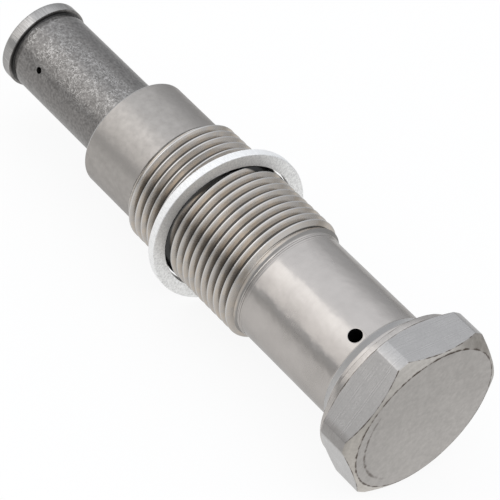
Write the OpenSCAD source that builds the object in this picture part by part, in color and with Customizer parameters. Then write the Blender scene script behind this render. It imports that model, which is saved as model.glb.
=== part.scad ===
// Hydraulic timing chain tensioner: a screw-in housing, a sprung plunger and a ball check valve.
// Every piece is modelled along one common axis, with the end face of the hex head at z = 0 and the
// plunger at the far end. lay() then turns the whole tensioner on its side, resting on a hex flat.

/* [Hex head] */
// Width across the flats
hex_af = 27; // [26:0.5:32]
// Height of the head, from its end face to its washer face
hex_height = 7.85; // [7:0.05:12]
// Depth cut off each sharp corner by turning the bar
hex_corner_cut = 0.54; // [0.2:0.02:1]
// Distance from the flats in to the edge of the round end face
hex_face_inset = 0.5; // [0.2:0.1:1.5]
// Angle of the chamfer round the end face, measured from that face
hex_chamfer = 30; // [15:1:32]
// Angle of the chamfer behind the flats, measured from the end face
hex_back_chamfer = 25; // [15:1:32]
// Distance from the flats in to the rim of the round washer face behind the head
washer_face_inset = 0.2; // [0.1:0.1:1]
// Height of the washer face's rim over the chamfer
washer_face_rise = 0.95; // [0.3:0.05:1.5]

/* [Neck and shank] */
// Length from the head to the start of the thread
neck_length = 23.85; // [19:0.05:30]
// Diameter of the smooth shank
shank_d = 19.6; // [18:0.1:20]
// Height of the collar under the head, over the shank
collar_step = 1.1; // [0.6:0.1:1.4]
// Length of the collar's straight part
collar_length = 1.7; // [0.5:0.1:2.5]
// Length of the taper between the collar and the shank
neck_taper = 1.6; // [0.8:0.1:2]
// Diameter of the oil inlet hole
oil_hole_d = 2.2; // [1.5:0.1:2.5]
// Distance of the oil hole from the head
oil_hole_reach = 4.85; // [4.6:0.05:6]
// Direction of the oil hole, from the upper flat towards +Y
oil_hole_angle = -33; // [-180:1:180]

/* [Thread and nose] */
// Major diameter of the thread
thread_d = 22; // [21:0.5:22.5]
// Length of the thread with its end chamfers
thread_length = 27; // [20:0.5:32]
// Length of the chamfer at each end of the thread
thread_chamfer = 1.1; // [0.6:0.1:1.6]
// Diameter of the smooth nose in front of the thread
nose_d = 19.7; // [18:0.1:20]
// Length of the nose
nose_length = 11.7; // [8:0.1:16]
// Chamfer on the nose's front edge
nose_chamfer = 0.3; // [0.1:0.05:1]

/* [Sealing washer] */
// Thickness of the washer
washer_t = 1.5; // [1:0.1:2]
// Width of the washer's flat band
washer_band = 2.05; // [1.6:0.05:2.05]
// Gap left between the leaning washer and the thread
washer_play = 0.1; // [0.05:0.05:0.15]
// Distance of the washer's centre from the start of the thread
washer_reach = 15.1; // [5:0.1:20]
// Lean of the washer on the thread
washer_lean = 10; // [0:0.5:11]
// Direction of the lean, from the upper flat towards +Y
washer_lean_angle = 120; // [0:5:360]
// Chamfer on the washer's edges
washer_edge = 0.15; // [0.05:0.05:0.3]

/* [Plunger] */
// Outer diameter of the plunger
plunger_d = 14; // [12:0.1:14.4]
// Length of the plunger, tip to open end
plunger_length = 48.8; // [44:0.1:54]
// Length of the plunger that stands out of the nose at rest
plunger_reach = 25.4; // [20:0.1:28]
// Wall of the plunger's tube
plunger_wall = 1.7; // [1.4:0.1:2]
// Solid length at the plunger's closed tip
plunger_crown = 7; // [5:0.1:10]
// Height of the tip's flange over the plunger
flange_step = 0.5; // [0.3:0.1:1.5]
// Thickness of the tip's flange
flange_t = 2; // [1:0.1:3]
// Rounding of the flange's edges, as a chamfer
flange_edge = 0.25; // [0.1:0.05:0.5]
// Width of the undercut behind the flange
undercut_width = 1.2; // [0.6:0.1:2]
// Depth of the undercut behind the flange
undercut_depth = 0.35; // [0.2:0.05:0.6]
// Chamfer on the plunger's open end
plunger_chamfer = 0.5; // [0.2:0.1:1]
// Diameter of the vent hole
vent_hole_d = 1.1; // [0.6:0.1:1.6]
// Distance of the vent hole from the bottom of the plunger's bore
vent_reach = 1.2; // [1:0.1:2]
// Direction of the vent hole, from the upper flat towards +Y
vent_angle = -72; // [-180:1:180]

/* [Stop ring] */
// Diameter of the ring's wire
ring_wire_d = 1.2; // [0.8:0.1:1.4]
// Height of the ring's wire centre over the plunger's surface
ring_stand = 0.1; // [0:0.05:0.2]
// Distance of the ring from the plunger's open end
ring_inset = 2.5; // [2:0.1:5]
// Opening of the ring
ring_gap_angle = 30; // [10:5:60]

/* [Springs] */
// Wire of the plunger spring
spring_wire_d = 1.3; // [0.9:0.1:1.4]
// Turns of the plunger spring, with its two closed ends
spring_turns = 20; // [12:1:24]
// Wire of the valve spring
valve_wire_d = 0.4; // [0.3:0.05:0.45]
// Radial gap round the valve spring in the cage
valve_spring_gap = 1; // [0.6:0.1:1.2]
// Turns of the valve spring
valve_turns = 2.5; // [2:0.5:3]

/* [Filler] */
// Thickness of the filler's flange
filler_flange_t = 2; // [1.6:0.1:4]
// Length of the filler's stem
filler_stem = 34; // [15:1:38]
// Chamfer on the end of the stem
filler_chamfer = 1; // [0.3:0.1:2]

/* [Check valve] */
// Diameter of the inlet chamber under the valve
inlet_d = 9; // [6:0.1:11]
// Length of the inlet chamber, from its floor to the valve
inlet_length = 7; // [5:0.1:10]
// Distance of the oil hole from the chamber's floor
inlet_floor_gap = 2.7; // [2:0.1:3.5]
// Thickness of the valve seat
seat_t = 3.5; // [2:0.1:5]
// Width of the seat's cone inside the circle that the ball closes
seat_inner_land = 0.2; // [0.1:0.05:0.4]
// Width of the seat's cone outside the circle that the ball closes
seat_outer_land = 0.6; // [0.3:0.05:0.7]
// Sheet thickness of the cage
cage_t = 0.5; // [0.3:0.05:0.7]
// Room over the ball for its spring
cage_headroom = 2.2; // [2:0.1:3]
// Diameter of the cage's side windows
window_d = 2; // [1:0.1:2.4]
// Number of side windows in the cage
window_count = 4; // [3:1:6]

/* [Clearances] */
// Radial running clearance of the plunger in the housing
plunger_fit = 0.03; // [0.01:0.01:0.1]
// Radial clearance of the valve seat and cage in their pocket
seat_fit = 0.05; // [0.02:0.01:0.1]
// Gap round the stop ring in the travel chamber
ring_clearance = 0.3; // [0.1:0.05:0.5]
// Side gap of the stop ring in its groove and at its stop
ring_side_gap = 0.1; // [0.05:0.05:0.2]
// Radial gap round the plunger spring, inside and outside
spring_gap = 0.4; // [0.3:0.05:0.6]
// Gap at the ends of both springs
spring_end_gap = 0.05; // [0.02:0.01:0.1]
// Radial gap of the filler's flange in the plunger
filler_gap = 0.3; // [0.1:0.05:0.5]
// Gap between the ball and its seat
ball_gap = 0.05; // [0.02:0.01:0.1]
// Radial room round the ball in its cage
cage_gap = 0.3; // [0.2:0.05:0.4]

/* [Hidden] */
$fn = 96;

steel = [0.66, 0.64, 0.61];
dark_steel = [0.48, 0.48, 0.47];
bright_steel = [0.74, 0.74, 0.75];
spring_steel = [0.42, 0.42, 0.44];
aluminium = [0.86, 0.86, 0.86];
plastic = [0.84, 0.80, 0.70];

// Extra length of a cutter past the face that it opens
cut_over = 1;
// Slope of the cone that a twist drill leaves
drill_angle = 31;

// Stations along the axis, from the end face of the head
collar_end = hex_height + collar_length;
thread_start = hex_height + neck_length;
thread_end = thread_start + thread_length;
nose_end = thread_end + nose_length;
plunger_tip = nose_end + plunger_reach;
overall_length = plunger_tip;
oil_hole_z = hex_height + oil_hole_reach;
inlet_floor = oil_hole_z - inlet_floor_gap;
seat_z = inlet_floor + inlet_length;
seat_top = seat_z + seat_t;
cage_flange_top = seat_top + cage_t;
plunger_open_end = plunger_tip - plunger_length;
plunger_floor = plunger_tip - plunger_crown;
flange_back = plunger_tip - flange_t;
vent_z = plunger_floor - vent_reach;
ring_z = plunger_open_end + ring_inset;
ring_stop = ring_z + ring_wire_d / 2 + ring_side_gap;
filler_back = plunger_floor - filler_flange_t;

// Radii that follow from the fits
hex_corner_r = hex_af / 2 / cos(30) - hex_corner_cut;
hex_face_r = hex_af / 2 - hex_face_inset;
washer_face_r = hex_af / 2 - washer_face_inset;
shank_r = shank_d / 2;
collar_r = shank_r + collar_step;
thread_r = thread_d / 2;
nose_r = nose_d / 2;
plunger_r = plunger_d / 2;
bore_r = plunger_r + plunger_fit;
plunger_bore_r = plunger_r - plunger_wall;
ring_r = plunger_r + ring_stand;
ring_groove_r = ring_r - ring_wire_d / 2 - ring_side_gap / 2;
chamber_r = ring_r + ring_wire_d / 2 + ring_clearance;
seat_r = bore_r - seat_fit;
spring_r = plunger_bore_r - spring_gap - spring_wire_d / 2;
filler_stem_r = spring_r - spring_wire_d / 2 - spring_gap;
cage_r = spring_r - spring_wire_d / 2 - spring_gap;
cage_bore_r = cage_r - cage_t;
ball_r = cage_bore_r - cage_gap;
ball_circle_r = ball_r / sqrt(2);
orifice_r = ball_circle_r - seat_inner_land;
cone_r = ball_circle_r + seat_outer_land;
valve_spring_r = cage_bore_r - valve_spring_gap - valve_wire_d / 2;
washer_bore_r = (thread_r + washer_play + washer_t / 2 * sin(washer_lean)) / cos(washer_lean);

// The ball on its seat, and the roof of the cage over it
ball_z = seat_top - cone_r + (ball_r + ball_gap) * sqrt(2);
cage_roof = ball_z + ball_r + cage_headroom;

// Room in the valve pocket past the cage's flange
pocket_room = ring_wire_d * 2;
pocket_end = cage_flange_top + pocket_room;

// Facets of the swept wires
spring_steps = 16;
spring_sides = 8;
valve_spring_steps = 12;
valve_spring_sides = 6;
// Pitch of a closed end turn, in wire diameters
closed_pitch = 1.03;

// Lays a piece on its side: the axis along -X, the upper hex flat facing +Z
module lay() {
    translate([overall_length / 2, 0, hex_af / 2])
        rotate([0, -90, 0])
            children();
}

// A drill along a radius at height z, from the axis out past radius r
module radial_drill(z, angle, d, r) {
    rotate([0, 0, angle])
        translate([0, 0, z])
            rotate([0, 90, 0])
                cylinder(d = d, h = r + cut_over);
}

// Height along the axis of a closed-ended coil after t turns out of n
function coil_rise(t, n, wire, length) =
    let (
        closed = min(1, n / 4),
        end_rise = closed * wire * closed_pitch,
        open_pitch = (length - 2 * end_rise) / (n - 2 * closed)
    )
    t < closed ? t * wire * closed_pitch
    : t > n - closed ? length - (n - t) * wire * closed_pitch
    : end_rise + (t - closed) * open_pitch;

// One ring of points round the wire after t turns
function wire_ring(t, n, wire, r, length, sides) = [
    for (k = [0 : sides - 1])
        let (
            side = 360 * k / sides,
            reach = r + wire / 2 * cos(side),
            rise = coil_rise(t, n, wire, length) + wire / 2 * sin(side)
        )
        [reach * cos(360 * t), reach * sin(360 * t), rise]
];

// A round wire wound to mean radius r, its centre line rising from z = 0 to z = length
module coil_spring(wire, r, turns, length, steps, sides) {
    rings = ceil(turns * steps);
    points = [
        for (i = [0 : rings])
            each wire_ring(turns * i / rings, turns, wire, r, length, sides)
    ];
    walls = [
        for (i = [0 : rings - 1], k = [0 : sides - 1])
            let (
                a = i * sides + k,
                b = i * sides + (k + 1) % sides
            )
            [a, a + sides, b + sides, b]
    ];
    first_end = [for (k = [0 : sides - 1]) k];
    last_end = [for (k = [sides - 1 : -1 : 0]) rings * sides + k];
    polyhedron(points, concat(walls, [first_end, last_end]), convexity = 10);
}

// Hexagon bar, turned to blunt its corners, to chamfer both ends and to leave a round washer face
module hex_head() {
    rim_foot = hex_height - washer_face_rise;
    intersection() {
        rotate([0, 0, 30])
            linear_extrude(hex_height)
                circle(r = hex_af / 2 / cos(30), $fn = 6);
        rotate_extrude()
            polygon([
                [0, 0],
                [hex_face_r, 0],
                [hex_corner_r, (hex_corner_r - hex_face_r) * tan(hex_chamfer)],
                [hex_corner_r, rim_foot - (hex_corner_r - washer_face_r) * tan(hex_back_chamfer)],
                [washer_face_r, rim_foot],
                [washer_face_r, hex_height],
                [0, hex_height]
            ]);
    }
}

// Collar, shank, thread and nose as one turned bar
module turned_bar() {
    rotate_extrude()
        polygon([
            [0, hex_height / 2],
            [collar_r, hex_height / 2],
            [collar_r, collar_end],
            [shank_r, collar_end + neck_taper],
            [shank_r, thread_start],
            [thread_r, thread_start + thread_chamfer],
            [thread_r, thread_end - thread_chamfer],
            [nose_r, thread_end],
            [nose_r, nose_end - nose_chamfer],
            [nose_r - nose_chamfer, nose_end],
            [0, nose_end]
        ]);
}

// Stepped blind bore: inlet chamber, valve pocket, travel chamber and the plunger's guide
module stepped_bore() {
    inlet_r = inlet_d / 2;
    mouth_chamfer = nose_chamfer;
    rotate_extrude()
        polygon([
            [0, inlet_floor - inlet_r * tan(drill_angle)],
            [inlet_r, inlet_floor],
            [inlet_r, seat_z],
            [bore_r, seat_z],
            [bore_r, pocket_end],
            [chamber_r, pocket_end + chamber_r - bore_r],
            [chamber_r, ring_stop],
            [bore_r, ring_stop],
            [bore_r, nose_end - mouth_chamfer],
            [bore_r + mouth_chamfer, nose_end],
            [bore_r + mouth_chamfer, nose_end + cut_over],
            [0, nose_end + cut_over]
        ]);
}

module housing() {
    color(steel)
        lay()
            difference() {
                union() {
                    hex_head();
                    turned_bar();
                }
                stepped_bore();
                radial_drill(oil_hole_z, oil_hole_angle, oil_hole_d, collar_r);
            }
}

// Flat sealing ring, loose on the thread and leaning as far as its play allows
module sealing_washer() {
    outer_r = washer_bore_r + washer_band;
    color(aluminium)
        lay()
            translate([0, 0, thread_start + washer_reach])
                rotate([0, 0, washer_lean_angle])
                    rotate([0, washer_lean, 0])
                        translate([0, 0, -washer_t / 2])
                            rotate_extrude()
                                polygon([
                                    [washer_bore_r, 0],
                                    [outer_r - washer_edge, 0],
                                    [outer_r, washer_edge],
                                    [outer_r, washer_t - washer_edge],
                                    [outer_r - washer_edge, washer_t],
                                    [washer_bore_r, washer_t]
                                ]);
}

// Turned cup with a flanged tip, an undercut behind the flange and a groove for the stop ring
module plunger() {
    flange_r = plunger_r + flange_step;
    undercut_r = plunger_r - undercut_depth;
    groove_half = ring_wire_d / 2 + ring_side_gap / 2;
    color(dark_steel)
        lay()
            difference() {
                rotate_extrude()
                    polygon([
                        [plunger_bore_r, plunger_open_end],
                        [plunger_r - plunger_chamfer, plunger_open_end],
                        [plunger_r, plunger_open_end + plunger_chamfer],
                        [plunger_r, ring_z - groove_half],
                        [ring_groove_r, ring_z - groove_half],
                        [ring_groove_r, ring_z + groove_half],
                        [plunger_r, ring_z + groove_half],
                        [plunger_r, flange_back - undercut_width],
                        [undercut_r, flange_back - undercut_width],
                        [undercut_r, flange_back],
                        [flange_r - flange_edge, flange_back],
                        [flange_r, flange_back + flange_edge],
                        [flange_r, plunger_tip - flange_edge],
                        [flange_r - flange_edge, plunger_tip],
                        [0, plunger_tip],
                        [0, plunger_floor],
                        [plunger_bore_r, plunger_floor]
                    ]);
                radial_drill(vent_z, vent_angle, vent_hole_d, plunger_r);
            }
}

// Open wire ring, sprung into the plunger's groove
module stop_ring() {
    color(spring_steel)
        lay()
            translate([0, 0, ring_z])
                rotate_extrude(angle = 360 - ring_gap_angle)
                    translate([ring_r, 0])
                        circle(d = ring_wire_d);
}

module plunger_spring() {
    end_gap = spring_wire_d / 2 + spring_end_gap;
    color(spring_steel)
        lay()
            translate([0, 0, cage_flange_top + end_gap])
                coil_spring(
                    spring_wire_d, spring_r, spring_turns,
                    filler_back - cage_flange_top - 2 * end_gap,
                    spring_steps, spring_sides
                );
}

// Headed plastic pin that fills the inside of the spring
module filler() {
    stem_end = filler_back - filler_stem;
    color(plastic)
        lay()
            rotate_extrude()
                polygon([
                    [0, stem_end],
                    [filler_stem_r - filler_chamfer, stem_end],
                    [filler_stem_r, stem_end + filler_chamfer],
                    [filler_stem_r, filler_back],
                    [plunger_bore_r - filler_gap, filler_back],
                    [plunger_bore_r - filler_gap, plunger_floor],
                    [0, plunger_floor]
                ]);
}

// Disc with the inlet orifice and the cone that the ball closes
module valve_seat() {
    color(bright_steel)
        lay()
            rotate_extrude()
                polygon([
                    [orifice_r, seat_z],
                    [seat_r, seat_z],
                    [seat_r, seat_top],
                    [cone_r, seat_top],
                    [orifice_r, seat_top - (cone_r - orifice_r)]
                ]);
}

module valve_ball() {
    color(bright_steel)
        lay()
            translate([0, 0, ball_z])
                sphere(r = ball_r);
}

// Light spring from the top of the ball to the roof of the cage
module valve_spring() {
    on_ball = sqrt(pow(ball_r + valve_wire_d / 2 + spring_end_gap, 2) - pow(valve_spring_r, 2));
    under_roof = cage_roof - valve_wire_d / 2 - spring_end_gap;
    color(spring_steel)
        lay()
            translate([0, 0, ball_z + on_ball])
                coil_spring(
                    valve_wire_d, valve_spring_r, valve_turns, under_roof - ball_z - on_ball,
                    valve_spring_steps, valve_spring_sides
                );
}

// Stamped cap with a flange that the plunger spring holds down, and windows for the oil
module valve_cage() {
    window_z = (cage_flange_top + cage_roof) / 2;
    vent_r = valve_spring_r - valve_wire_d;
    color(bright_steel)
        lay()
            difference() {
                rotate_extrude()
                    polygon([
                        [cage_bore_r, seat_top],
                        [seat_r, seat_top],
                        [seat_r, cage_flange_top],
                        [cage_r, cage_flange_top],
                        [cage_r, cage_roof + cage_t],
                        [vent_r, cage_roof + cage_t],
                        [vent_r, cage_roof],
                        [cage_bore_r, cage_roof]
                    ]);
                for (i = [0 : window_count - 1])
                    radial_drill(window_z, 360 * i / window_count, window_d, cage_r);
            }
}

housing();
sealing_washer();
plunger();
stop_ring();
plunger_spring();
filler();
valve_seat();
valve_ball();
valve_spring();
valve_cage();
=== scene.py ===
"""Screw-in timing chain tensioner: its finished surfaces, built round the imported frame."""

import math

import bmesh
import bpy
from bpy.props import FloatProperty, FloatVectorProperty, IntProperty, PointerProperty
from mathutils import Matrix, Vector


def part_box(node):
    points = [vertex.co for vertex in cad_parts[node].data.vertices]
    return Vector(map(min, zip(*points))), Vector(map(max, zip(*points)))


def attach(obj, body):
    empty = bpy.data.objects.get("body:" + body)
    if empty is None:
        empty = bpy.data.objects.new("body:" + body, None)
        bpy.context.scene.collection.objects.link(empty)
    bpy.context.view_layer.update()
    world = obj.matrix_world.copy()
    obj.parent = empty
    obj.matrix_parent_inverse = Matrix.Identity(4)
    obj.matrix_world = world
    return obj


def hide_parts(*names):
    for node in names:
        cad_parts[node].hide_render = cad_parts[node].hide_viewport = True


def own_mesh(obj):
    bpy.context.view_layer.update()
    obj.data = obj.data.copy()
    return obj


bl_info = {
    "name": "Timing Chain Tensioner",
    "version": (1, 0, 0),
    "blender": (4, 5, 0),
    "location": "3D View > Sidebar > Tensioner",
    "description": "Builds a screw-in timing chain tensioner round its CAD frame",
    "category": "Add Mesh",
}

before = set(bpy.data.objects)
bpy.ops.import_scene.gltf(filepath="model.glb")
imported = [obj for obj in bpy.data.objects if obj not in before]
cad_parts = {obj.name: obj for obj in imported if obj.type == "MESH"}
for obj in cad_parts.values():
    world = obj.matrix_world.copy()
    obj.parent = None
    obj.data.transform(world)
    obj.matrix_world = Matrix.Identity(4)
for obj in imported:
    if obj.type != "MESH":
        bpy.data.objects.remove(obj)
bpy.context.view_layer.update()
MM = 0.001

# Where the tensioner lies: the end face of its hex head, and the height of its axis
HOUSING_LOW, HOUSING_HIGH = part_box("housing")
HEAD_X = HOUSING_HIGH.x
AXIS_Z = (HOUSING_LOW.z + HOUSING_HIGH.z) / 2

# Pieces are modelled upright, with the end face at z = 0 and the upper flat facing +x, then laid down
LAY = Matrix(((0, 0, -1, HEAD_X), (0, 1, 0, 0), (1, 0, 0, AXIS_Z), (0, 0, 0, 1)))
AXIS = (0.0, 0.0, 1.0)
CENTRE = (0.0, 0.0, 0.0)
FULL_TURN = 2 * math.pi
QUARTER_TURN = FULL_TURN / 4
SIXTH_TURN = FULL_TURN / 6

# Facets
FLAT_STEPS = 24
LAND_STEPS = 4
TURN_STEPS = 6 * (FLAT_STEPS + LAND_STEPS)
INNER_STEPS = TURN_STEPS // 2
CORNER_STEPS = 3
EDGE_STEPS = 2
HOLE_STEPS = 48
WIRE_STEPS = 14
BALL_STEPS = 64
FLOOR_STEPS = 96
THREAD_SECTORS = 6

# The smallest distances and angles that matter
WELD = 0.0005 * MM
RIM_GAP = 0.2 * MM
SHARP_ANGLE = math.radians(32)
BEVEL_ANGLE = math.radians(15)

# How much of a face's normal points along the axis, or out from it, where a finish starts
SLANTED = 0.3
SQUARE = 0.95
RIM_FACING = 0.8

# Fixed forms: the thread's flanks, the ridges of its run-out, and a spring's closed turns in wire widths
FLANK_ANGLE = math.radians(30)
RUNOUT_RIDGES = 3
RUNOUT_SHIFT = 0.4
CLOSED_PITCH = 1.03

# Values that finishes and light share, with the feed and the inset in millimetres
EDGE_TINT = (0.7, 0.7, 0.7)
TURNING_FEED = 0.12
GLOSS_SPREAD = 0.15
DIRT_INSET = 1.6
SKY_TINT = (0.965, 0.99, 1.03)

# Finishes of the housing's faces, and of the plunger's and the washer's
SHANK, NOSE, FLATS, CHAMFER, END_FACE, WASHER_FACE, TAPER, THREAD, BORE = range(9)
BODY, TIP_FACE, CUP = range(3)
BAND, RIM = range(2)


def reach(node):
    """A CAD node's outer radius, and its first and last station along the axis."""
    low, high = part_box(node)
    return high.y, HEAD_X - high.x, HEAD_X - low.x


CORNER_R, _, NOSE_END = reach("housing")
FLANGE_R, OPEN_END, TIP = reach("plunger")
SEAT_R, SEAT_STATION, SEAT_TOP = reach("valve_seat")
FILLER_R, STEM_END, FILLER_END = reach("filler")


def length(name, size, description):
    """A length property in metres."""
    return FloatProperty(
        name=name, description=description, default=size, min=0.0, unit="LENGTH", precision=5
    )


def angle(name, degrees, description):
    """An angle property, written here in degrees."""
    return FloatProperty(
        name=name, description=description, default=math.radians(degrees), subtype="ANGLE"
    )


def amount(name, value, description):
    """A plain number property."""
    return FloatProperty(name=name, description=description, default=value, min=0.0)


def colour(name, value, description):
    """A colour property."""
    return FloatVectorProperty(
        name=name, description=description, default=value, size=3, min=0.0, max=1.0, subtype="COLOR"
    )


class HousingSizes(bpy.types.PropertyGroup):
    """Sizes of the hex head, neck, thread and nose"""

    across_flats: length("Across flats", HOUSING_HIGH.z - HOUSING_LOW.z, "Width of the hex head")
    corner_radius: length("Corner radius", CORNER_R, "Radius of the blunt lands at the corners")
    head_height: length("Head height", 7.85 * MM, "Height of the head, up to its washer face")
    face_radius: length("Face radius", 13.0 * MM, "Radius of the round end face")
    chamfer: angle("Chamfer", 30, "Slope of the chamfer round the end face")
    back_chamfer: angle("Back chamfer", 25, "Slope of the chamfer behind the flats")
    washer_face_radius: length("Washer face radius", 13.3 * MM, "Radius of the round washer face")
    washer_face_rise: length("Washer face rise", 0.95 * MM, "Height of the washer face over the chamfer")
    edge: length("Edge", 0.08 * MM, "Rounding of the head's edges")
    collar_radius: length("Collar radius", 10.9 * MM, "Radius of the collar under the head")
    collar_end: length("Collar end", 9.55 * MM, "Station where the collar ends")
    collar_edge: length("Collar edge", 0.1 * MM, "Rounding of the collar's end")
    neck_taper: length("Neck taper", 1.6 * MM, "Length of the taper down to the shank")
    taper_edge: length("Taper edge", 0.25 * MM, "Rounding at the foot of the taper")
    shank_radius: length("Shank radius", 9.8 * MM, "Radius of the smooth shank")
    thread_start: length("Thread start", 31.7 * MM, "Station where the thread rises from the shank")
    thread_end: length("Thread end", 58.7 * MM, "Station where the thread meets the nose")
    thread_radius: length("Thread radius", 11.0 * MM, "Radius over the crests")
    thread_pitch: length("Thread pitch", 1.5 * MM, "Distance between crests")
    crest_station: length("Crest station", 0.5 * MM, "A crest's station over the upper flat")
    crest_width: length("Crest width", 0.2 * MM, "Flat on the crests")
    root_width: length("Root width", 0.25 * MM, "Flat in the roots")
    crest_edge: length("Crest edge", 0.05 * MM, "Rounding of the crests")
    root_edge: length("Root edge", 0.1 * MM, "Rounding of the roots")
    thread_chamfer: length("Thread chamfer", 1.1 * MM, "Length of the chamfer at each end")
    runout_pitch: length("Run-out pitch", 0.34 * MM, "Distance between the fine ridges of the run-out")
    runout_height: length("Run-out height", 0.06 * MM, "Height of the first ridge over the shank")
    runout_edge: length("Run-out edge", 0.02 * MM, "Rounding of the fine ridges")
    nose_radius: length("Nose radius", 9.85 * MM, "Radius of the smooth nose")
    nose_chamfer: length("Nose chamfer", 0.3 * MM, "Chamfers at the mouth of the nose")
    nose_edge: length("Nose edge", 0.14 * MM, "Rounding of the nose's outer edge")
    oil_hole_station: length("Oil hole station", 12.7 * MM, "Station of the oil inlet hole")
    oil_hole: length("Oil hole", 2.2 * MM, "Diameter of the oil inlet hole")
    oil_hole_edge: length("Oil hole edge", 0.16 * MM, "Rounding of the oil hole's edge")
    oil_hole_angle: angle("Oil hole angle", -33, "Direction of the hole from the upper flat")


class BoreSizes(bpy.types.PropertyGroup):
    """Sizes of the housing's stepped bore"""

    inlet_radius: length("Inlet radius", 4.5 * MM, "Radius of the inlet chamber")
    inlet_floor: length("Inlet floor", 10.0 * MM, "Station of the inlet chamber's floor")
    drill_slope: angle("Drill slope", 31, "Slope of the cone at the bottom")
    pocket_end: length("Pocket end", 23.4 * MM, "Station where the valve pocket ends")
    chamber_radius: length("Chamber radius", 8.0 * MM, "Radius of the stop ring's chamber")
    ring_stop: length("Ring stop", 50.2 * MM, "Station of the shoulder that stops the ring")
    guide_radius: length("Guide radius", 7.03 * MM, "Radius of the plunger's guide")
    edge: length("Edge", 0.06 * MM, "Rounding of the bore's edges")


class WasherSizes(bpy.types.PropertyGroup):
    """Sizes and lean of the sealing washer"""

    station: length("Station", 46.8 * MM, "Station of the washer's centre")
    bore_radius: length("Bore radius", 11.3 * MM, "Radius of the hole")
    outer_radius: length("Outer radius", 13.453 * MM, "Radius of the rim")
    thickness: length("Thickness", 1.5 * MM, "Thickness of the washer")
    rim_edge: length("Rim edge", 0.15 * MM, "Rounding of the rim's edges")
    bore_edge: length("Bore edge", 0.06 * MM, "Rounding of the hole's edges")
    lean: angle("Lean", 10, "Lean of the washer on the thread")
    lean_angle: angle("Lean angle", 120, "Direction of the lean from the upper flat")


class PlungerSizes(bpy.types.PropertyGroup):
    """Sizes of the plunger and its stop ring"""

    radius: length("Radius", 7.0 * MM, "Outer radius")
    bore_radius: length("Bore radius", 5.3 * MM, "Radius of the spring's bore")
    flange_radius: length("Flange radius", FLANGE_R, "Radius of the tip's flange")
    flange_back: length("Flange back", TIP - 2.0 * MM, "Station of the flange's back face")
    flange_edge: length("Flange edge", 0.25 * MM, "Rounding of the flange's edges")
    undercut_width: length("Undercut width", 1.2 * MM, "Width of the undercut behind the flange")
    undercut_depth: length("Undercut depth", 0.35 * MM, "Depth of the undercut")
    chamfer: length("Chamfer", 0.5 * MM, "Chamfer of the open end")
    edge: length("Edge", 0.08 * MM, "Rounding of the body's edges")
    fleck_height: length("Fleck height", 0.014 * MM, "Relief of the rubbed flecks")
    vent_station: length("Vent station", 87.6 * MM, "Station of the vent hole")
    vent: length("Vent", 1.1 * MM, "Diameter of the vent hole")
    vent_angle: angle("Vent angle", -72, "Direction of the vent from the upper flat")
    ring_station: length("Ring station", 49.5 * MM, "Station of the stop ring")
    ring_radius: length("Ring radius", 7.1 * MM, "Mean radius of the stop ring")
    ring_wire: length("Ring wire", 1.2 * MM, "Wire of the stop ring")
    ring_gap: angle("Ring gap", 30, "Opening of the stop ring")
    groove_play: length("Groove play", 0.05 * MM, "Play of the ring in its groove")


class SpringSizes(bpy.types.PropertyGroup):
    """Sizes of the plunger spring, the valve spring and the filler inside the first"""

    wire: length("Wire", 1.3 * MM, "Wire of the plunger spring")
    radius: length("Radius", 4.25 * MM, "Mean radius of the plunger spring")
    turns: amount("Turns", 20, "Turns of the plunger spring")
    valve_wire: length("Valve wire", 0.4 * MM, "Wire of the valve spring")
    valve_radius: length("Valve radius", 1.5 * MM, "Mean radius of the valve spring")
    valve_turns: amount("Valve turns", 2.5, "Turns of the valve spring")
    steps: IntProperty(name="Steps", description="Facets in one turn", default=32, min=8)
    stem_radius: length("Stem radius", 3.2 * MM, "Radius of the filler's stem")
    stem_chamfer: length("Stem chamfer", 1.0 * MM, "Chamfer of the stem's end")
    filler_flange: length("Filler flange", 2.0 * MM, "Thickness of the filler's flange")
    filler_edge: length("Filler edge", 0.2 * MM, "Rounding of the filler's edges")


class ValveSizes(bpy.types.PropertyGroup):
    """Sizes of the check valve"""

    orifice_radius: length("Orifice radius", 1.497 * MM, "Radius of the inlet orifice")
    cone_radius: length("Cone radius", 2.297 * MM, "Widest radius of the seat's cone")
    seat_edge: length("Seat edge", 0.2 * MM, "Rounding of the seat's rim")
    cage_radius: length("Cage radius", 3.2 * MM, "Outer radius of the cage's cup")
    sheet: length("Sheet", 0.5 * MM, "Sheet thickness of the cage")
    roof_vent: length("Roof vent", 1.1 * MM, "Radius of the hole in the cage's roof")
    roof_edge: length("Roof edge", 0.3 * MM, "Rounding of the cage's roof")
    edge: length("Edge", 0.05 * MM, "Rounding of the valve's other edges")
    window: length("Window", 2.0 * MM, "Diameter of the side windows")
    windows: IntProperty(name="Windows", description="Number of side windows", default=4, min=1)


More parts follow.
